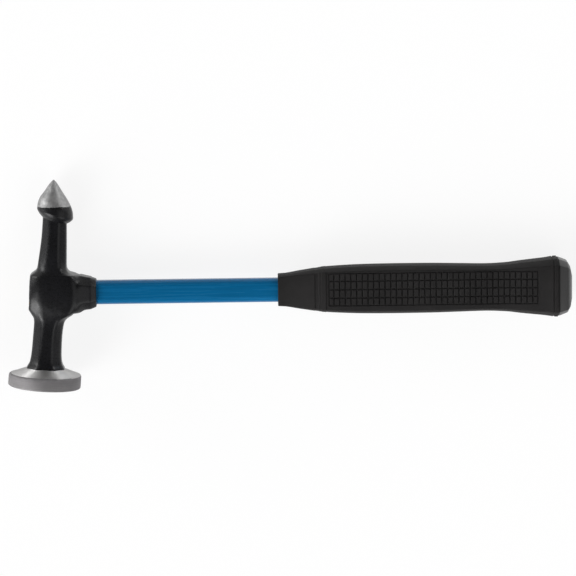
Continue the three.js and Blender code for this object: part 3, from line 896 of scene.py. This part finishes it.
class Bench:
    """Lays out the nodes of one finish, or of the world."""

    def __init__(self, owner):
        owner.use_nodes = True
        owner.node_tree.nodes.clear()
        self.owner, self.tree, self.column = owner, owner.node_tree, 0

    def fill(self, socket, value):
        """Links another node's socket into this one, or sets its value."""
        if isinstance(value, bpy.types.NodeSocket):
            self.tree.links.new(value, socket)
        else:
            socket.default_value = value

    def node(self, kind, inputs=None, **settings):
        node = self.tree.nodes.new(kind)
        self.column += 1
        node.location = (self.column * 180, 0)
        for key, value in settings.items():
            setattr(node, key, value)
        for key, value in (inputs or {}).items():
            self.fill(node.inputs[key], value)
        return node

    def math(self, operation, *values):
        return self.node("ShaderNodeMath", dict(enumerate(values)), operation=operation).outputs[0]

    def vector(self, operation, *values):
        node = self.node("ShaderNodeVectorMath", dict(enumerate(values)), operation=operation)
        return node.outputs["Value" if operation in ("LENGTH", "DOT_PRODUCT") else "Vector"]

    def local(self, matrix):
        """Object coordinates, turned and centred into that frame, in metres."""
        inverse = matrix.inverted()
        place = self.node("ShaderNodeTexCoord").outputs["Object"]
        return self.node("ShaderNodeMapping", {
            "Vector": place, "Location": inverse.translation, "Rotation": inverse.to_euler("XYZ")}).outputs[0]

    def drawn_out(self, place, scale):
        """The same place with its scale changed, so that a pattern on it is drawn out where the number is small."""
        return self.node("ShaderNodeMapping", {"Vector": place, "Scale": scale}).outputs[0]

    def noise(self, vector, scale, detail):
        return self.node("ShaderNodeTexNoise", {
            "Vector": vector, "Scale": scale, "Detail": detail, "Roughness": 0.55}).outputs["Fac"]

    def spread(self, value, low, high, start=0.3, stop=0.7, way="LINEAR"):
        """Takes a value from the range start to stop into the range low to high."""
        return self.node("ShaderNodeMapRange", {
            "Value": value, "From Min": start, "From Max": stop, "To Min": low, "To Max": high},
            interpolation_type=way).outputs[0]

    def blend(self, part, first, second):
        node = self.node("ShaderNodeMix", data_type="RGBA")
        for number, value in ((0, part), (6, first), (7, second)):      # factor, and the two colours
            self.fill(node.inputs[number], value)
        return node.outputs[2]

    def shade(self, pattern, colour, darker, lighter):
        """The colour made darker and lighter as the pattern goes."""
        return self.blend(self.spread(pattern, 0, 1), tone(colour, darker), tone(colour, lighter))

    def bump(self, height, strength, distance, normal=None):
        inputs = {"Height": height, "Strength": strength, "Distance": distance}
        if normal is not None:
            inputs["Normal"] = normal
        return self.node("ShaderNodeBump", inputs).outputs[0]

    def finish(self, **inputs):
        """Ends with the shader, and gives the finish."""
        shader = self.node("ShaderNodeBsdfPrincipled", {key.replace("_", " "): v for key, v in inputs.items()})
        self.node("ShaderNodeOutputMaterial", {"Surface": shader.outputs[0]})
        return self.owner


def tone(colour, factor):
    """The same colour, lighter or darker."""
    return (*(min(1.0, value * factor) for value in colour), 1.0)


def start_finish(name, colour, matrix):
    """The bench of a new finish, the colour it has, and the place on the hammer that its patterns follow."""
    bench = Bench(bpy.data.materials.new(name))
    return bench, getattr(bpy.context.scene.hammer_finish, colour), bench.local(matrix)


def dress_node(name, finish):
    node = frame["nodes"][name]
    node.data.materials.clear()
    node.data.materials.append(finish)


def forging_paint():
    """Semi-gloss black over forged steel: soft hammer-scale unevenness and a fine orange peel."""
    bench, colour, place = start_finish("black_forging_paint", "forging_black", head_frame())
    cloud = bench.noise(place, 90, 4)
    fine = bench.noise(place, 700, 3)
    scale_marks = bench.noise(place, 160, 2)
    normal = bench.bump(scale_marks, 0.35, 0.0004)
    normal = bench.bump(fine, 0.25, 0.00006, normal)
    return bench.finish(Base_Color=bench.shade(cloud, colour, 0.75, 1.5), Roughness=bench.spread(fine, 0.25, 0.33),
                        Normal=normal, Specular_IOR_Level=0.25)


def around_axis(bench, place):
    """Radius about the head's axis and height along it, so that a pattern runs in rings."""
    parts = bench.node("ShaderNodeSeparateXYZ", {0: place})
    across = bench.math("MULTIPLY", parts.outputs[0], parts.outputs[0])
    radius = bench.math("SQRT", bench.math("MULTIPLY_ADD", parts.outputs[2], parts.outputs[2], across))
    return bench.node("ShaderNodeCombineXYZ", {0: radius, 1: parts.outputs[1]}).outputs[0]


def turned_steel():
    """Bare steel turned on a lathe: fine rings about the head's axis, a bright bow-tie under the lights."""
    bench, colour, place = start_finish("turned_face_steel", "ground_steel", head_frame())
    ring_place = around_axis(bench, place)
    rings = bench.noise(ring_place, 2600, 2)
    broad = bench.noise(ring_place, 420, 2)
    cloud = bench.noise(place, 130, 4)
    shade = bench.blend(bench.spread(rings, 0, 0.25), bench.shade(cloud, colour, 0.85, 1.1), tone(colour, 0.6))
    rough = bench.math("ADD", bench.spread(cloud, 0.68, 0.76), bench.spread(broad, -0.03, 0.05))
    normal = bench.bump(rings, 0.3, 0.00003)

    # Reflections are drawn out across the rings, so the tangent points away from the axis
    world = bench.node("ShaderNodeNewGeometry").outputs["Position"]
    matrix = head_frame()
    axis = matrix.to_3x3().col[1].normalized()
    out = bench.vector("SUBTRACT", world, matrix.translation)
    along = bench.node("ShaderNodeVectorMath", {0: axis, "Scale": bench.vector("DOT_PRODUCT", out, axis)},
                       operation="SCALE").outputs[0]
    tangent = bench.vector("NORMALIZE", bench.vector("SUBTRACT", out, along))
    return bench.finish(Base_Color=shade, Metallic=1.0, Roughness=rough, Normal=normal, Anisotropic=1.0,
                        Tangent=tangent)


def ground_rim_steel():
    """Rim and striking face: ground satin, with faint bands around the rim and cloudy marks of use."""
    bench, colour, place = start_finish("ground_rim_steel", "rim_steel", head_frame())
    bands = bench.noise(around_axis(bench, place), 1100, 3)
    cloud = bench.noise(place, 110, 4)
    fine = bench.noise(place, 1500, 2)
    # The rim's colour is the same steel painted darker, as painted shade for its rough grind
    shade = bench.blend(bench.spread(bands, 0, 0.4), bench.shade(cloud, colour, 0.82, 1.14), tone(colour, 0.7))
    rough = bench.math("ADD", bench.spread(cloud, 0.66, 0.74), bench.spread(fine, -0.03, 0.03))
    normal = bench.bump(bands, 0.25, 0.00004)
    normal = bench.bump(fine, 0.15, 0.00003, normal)
    return bench.finish(Base_Color=shade, Metallic=1.0, Roughness=rough, Normal=normal)


def ground_pick_steel():
    """The pick: ground bright above the paint, whose edge runs across the collar."""
    bench, colour, place = start_finish("ground_pick_steel", "pick_steel", head_frame())
    black = bpy.context.scene.hammer_finish.forging_black
    parts = bench.node("ShaderNodeSeparateXYZ", {0: place})
    cloud = bench.noise(place, 170, 4)
    grain = bench.noise(bench.drawn_out(place, (1, 0.25, 1)), 1500, 2)
    marks = bench.noise(place, 420, 3)
    shade = bench.blend(bench.spread(marks, 0, 0.7), bench.shade(cloud, colour, 0.7, 1.1), tone(colour, 0.5))

    # The paint ends at a height along the head, a little higher towards the handle, with an uneven edge
    line_at = bpy.context.scene.hammer_head.pick_base + 3.6 * MM
    line = bench.math("ADD", parts.outputs[1], bench.math("MULTIPLY", parts.outputs[0], -0.071))
    line = bench.math("ADD", line, bench.spread(cloud, -0.0005, 0.0005))
    bare = bench.spread(line, 0, 1, line_at, line_at + 0.2 * MM)
    rough = bench.math("ADD", bench.spread(grain, 0.44, 0.56), bench.spread(cloud, -0.03, 0.06))
    rough = bench.math("MULTIPLY_ADD", bench.math("SUBTRACT", 1.0, bare), -0.2, rough)
    normal = bench.bump(grain, 0.25, 0.00005)
    normal = bench.bump(marks, 0.7, 0.0003, normal)
    return bench.finish(Base_Color=bench.blend(bare, (*black, 1.0), shade), Metallic=bare, Roughness=rough,
                        Normal=normal, Specular_IOR_Level=0.25)


def blue_jacket():
    """Glossy blue resin over glass fibre, with faint streaks along the shaft."""
    bench, colour, place = start_finish("blue_jacket", "shaft_blue", hammer_frame())
    drawn = bench.drawn_out(place, (0.03, 1, 1))
    streaks = bench.noise(drawn, 900, 3)
    broad = bench.noise(drawn, 260, 2)
    fine = bench.noise(place, 900, 2)
    shade = bench.blend(bench.spread(broad, 0, 0.35), bench.shade(streaks, colour, 0.86, 1.14), tone(colour, 1.2))
    normal = bench.bump(streaks, 0.12, 0.00005)
    normal = bench.bump(fine, 0.08, 0.00003, normal)
    return bench.finish(Base_Color=shade, Roughness=bench.spread(streaks, 0.22, 0.32), Normal=normal,
                        Specular_IOR_Level=0.25)


def grip_rubber(name, smoothest, roughest, shine):
    """Moulded rubber with a fine grain, slightly greyer where it is handled."""
    bench, colour, place = start_finish(name, "grip_black", hammer_frame())
    cloud = bench.noise(place, 60, 4)
    grain = bench.noise(place, 1800, 3)
    shade = bench.blend(bench.spread(grain, 0, 0.35), bench.shade(cloud, colour, 0.8, 1.2), tone(colour, 1.7))
    return bench.finish(Base_Color=shade, Roughness=bench.spread(grain, smoothest, roughest),
                        Normal=bench.bump(grain, 0.4, 0.00008), Specular_IOR_Level=shine)


def cured_adhesive():
    """Amber adhesive, slightly cloudy, with a ripple where it set."""
    bench, colour, place = start_finish("cured_adhesive", "adhesive", hammer_frame())
    cloud = bench.noise(place, 240, 4)
    ripple = bench.noise(place, 380, 2)
    return bench.finish(Base_Color=bench.shade(cloud, colour, 0.7, 1.25), Roughness=bench.spread(cloud, 0.16, 0.34),
                        Normal=bench.bump(ripple, 0.5, 0.0003))


def seal_rubber():
    """Dull black rubber with a fine grain."""
    bench, colour, place = start_finish("seal_rubber", "seal_black", hammer_frame())
    grain = bench.noise(place, 1500, 3)
    return bench.finish(Base_Color=bench.shade(grain, colour, 0.8, 1.4), Roughness=bench.spread(grain, 0.6, 0.8),
                        Normal=bench.bump(grain, 0.3, 0.00008))


def glass_core():
    """Pale fibre glass with fibres along the shaft."""
    bench, colour, place = start_finish("glass_core", "glass_core", hammer_frame())
    fibres = bench.noise(bench.drawn_out(place, (0.02, 1, 1)), 2600, 3)
    return bench.finish(Base_Color=bench.shade(fibres, colour, 0.7, 1.1), Roughness=bench.spread(fibres, 0.35, 0.55),
                        Normal=bench.bump(fibres, 0.3, 0.00006))


# Stage

def floor_finish():
    """Matt white floor. To the camera and in reflections part of it shows as plain white, so the shadow is light."""
    bench = Bench(bpy.data.materials.new("pale_floor"))
    scene = bpy.context.scene
    matt = bench.node("ShaderNodeBsdfDiffuse", {"Color": (*scene.hammer_finish.floor_white, 1.0)}).outputs[0]
    plain = bench.node("ShaderNodeEmission", {"Color": (1, 1, 1, 1), "Strength": 1.0}).outputs[0]
    ray = bench.node("ShaderNodeLightPath")
    seen = bench.math("ADD", ray.outputs["Is Camera Ray"], ray.outputs["Is Glossy Ray"])
    seen = bench.math("MINIMUM", bench.math("ADD", seen, ray.outputs["Is Transmission Ray"]), 1.0)
    part = bench.math("MULTIPLY", seen, scene.hammer_studio.floor_glow)
    both = bench.node("ShaderNodeMixShader", {0: part, 1: matt, 2: plain}).outputs[0]
    bench.node("ShaderNodeOutputMaterial", {"Surface": both})
    return bench.owner


# Soft panels of light around the hammer, as seen from it: where each one's middle lies (along the handle, along
# the head, up), how far it reaches and how far it is at full strength, in degrees, and its strength
LIGHT_PANELS = (
    ((-0.68, -0.66, 0.32), 24, 8, 7.2),
    ((-0.62, -0.48, 0.62), 26, 10, 3.3),
    ((-0.62, 0.52, 0.58), 28, 10, 0.45),
    ((0.50, -0.66, 0.56), 26, 10, 1.6),
    ((-0.88, 0.44, 0.12), 20, 8, 6.8),
    ((0.76, 0.64, 0.10), 17, 7, 4.8),
    ((0.72, -0.10, 0.69), 34, 10, 0.9),
)


def studio_light(studio):
    """The room around the hammer: walls under a dark ceiling, and soft panels of light."""
    bench = Bench(bpy.data.worlds.new("studio"))
    turned = hammer_frame().to_3x3()
    way = bench.node("ShaderNodeTexCoord").outputs["Generated"]

    # Walls, brighter past the head than past the butt, fading into the ceiling
    parts = bench.node("ShaderNodeSeparateXYZ", {0: way})
    wall = studio.wall_sides
    for sign, strength in ((-1, studio.wall_head), (1, studio.wall_butt)):
        toward = bench.math("MAXIMUM", bench.math("MULTIPLY", parts.outputs[0], sign), 0.0)
        wall = bench.math("MULTIPLY_ADD", bench.math("MULTIPLY", toward, toward), strength - studio.wall_sides, wall)
    fade = bench.spread(parts.outputs[2], 1.0, 0.0, 0.1, 0.75, "SMOOTHSTEP")
    light = bench.math("MULTIPLY_ADD", wall, fade, studio.ceiling)
    for middle, reach, full, strength in LIGHT_PANELS:
        near = bench.vector("DOT_PRODUCT", way, turned @ Vector(middle).normalized())
        outside, inside = (math.cos(math.radians(angle)) for angle in (reach, full))
        panel = bench.spread(near, 0.0, strength * studio.panels, outside, inside, "SMOOTHSTEP")
        light = bench.math("ADD", light, panel)
    sky = bench.node("ShaderNodeBackground", {"Color": (1, 1, 1, 1), "Strength": light})
    bench.node("ShaderNodeOutputWorld", {"Surface": sky.outputs[0]})
    return bench.owner


class HAMMER_OT_stage(bpy.types.Operator):
    """Sets up the pale floor, the soft lights and the camera"""
    bl_idname = "hammer.stage"
    bl_label = "Stage"

    def execute(self, context):
        scene = context.scene
        studio = scene.hammer_studio
        bpy.ops.mesh.primitive_plane_add(size=6, location=(0, 0, 0))
        floor = context.object
        floor.name = "floor"
        floor.data.materials.append(floor_finish())
        scene.world = studio_light(studio)

        # Camera at the photograph's angle
        place = hammer_frame()
        climb, swing, roll = studio.climb, studio.swing, studio.roll
        back = Vector((math.sin(swing) * math.cos(climb), math.sin(climb), math.cos(swing) * math.cos(climb)))
        right = Vector((0, 1, 0)).cross(back).normalized()
        up = back.cross(right)
        right, up = (math.cos(roll) * right + math.sin(roll) * up, math.cos(roll) * up - math.sin(roll) * right)
        aim = Vector((studio.aim_along, studio.aim_across, 0))
        stand = Matrix((right, up, back)).transposed().to_4x4()
        stand.translation = aim + back * studio.distance
        data = bpy.data.cameras.new("camera")
        data.sensor_width = SENSOR
        data.lens = studio.scale * studio.distance / MM * SENSOR / PHOTO_WIDTH
        data.clip_start, data.clip_end = 0.01, 50.0
        camera = bpy.data.objects.new("camera", data)
        camera.matrix_world = place @ stand
        scene.collection.objects.link(camera)
        scene.camera = camera
        scene.view_settings.view_transform = "Standard"
        return {"FINISHED"}


class HAMMER_PT_panel(bpy.types.Panel):
    """Sizes, finishes and the steps that make the hammer"""
    bl_label = "Auto body hammer"
    bl_idname = "HAMMER_PT_panel"
    bl_space_type = "VIEW_3D"
    bl_region_type = "UI"
    bl_category = "Hammer"

    def draw(self, context):
        layout = self.layout
        for step in STEPS:
            layout.operator(step.bl_idname)
        for settings in (context.scene.hammer_head, context.scene.hammer_handle,
                         context.scene.hammer_finish, context.scene.hammer_studio):
            column = layout.box().column(align=True)
            for name in settings.bl_rna.properties.keys():
                if name not in ("rna_type", "name"):
                    column.prop(settings, name)


STEPS = (HAMMER_OT_forged_head, HAMMER_OT_eye_filling, HAMMER_OT_shaft, HAMMER_OT_grip, HAMMER_OT_stage)
SETTINGS = {
    "hammer_head": ForgedHeadSizes, "hammer_handle": HandleSizes,
    "hammer_finish": FinishColours, "hammer_studio": StudioSettings,
}


def register():
    for group in (*SETTINGS.values(), *STEPS, HAMMER_PT_panel):
        bpy.utils.register_class(group)
    for name, group in SETTINGS.items():
        setattr(bpy.types.Scene, name, bpy.props.PointerProperty(type=group))


def unregister():
    for name in SETTINGS:
        delattr(bpy.types.Scene, name)
    for group in reversed((*SETTINGS.values(), *STEPS, HAMMER_PT_panel)):
        bpy.utils.unregister_class(group)


def main():
    register()
    bpy.ops.hammer.forged_head()
    bpy.ops.hammer.eye_filling()
    bpy.ops.hammer.shaft()
    bpy.ops.hammer.grip()
    bpy.ops.hammer.stage()


if __name__ == "__main__":
    main()
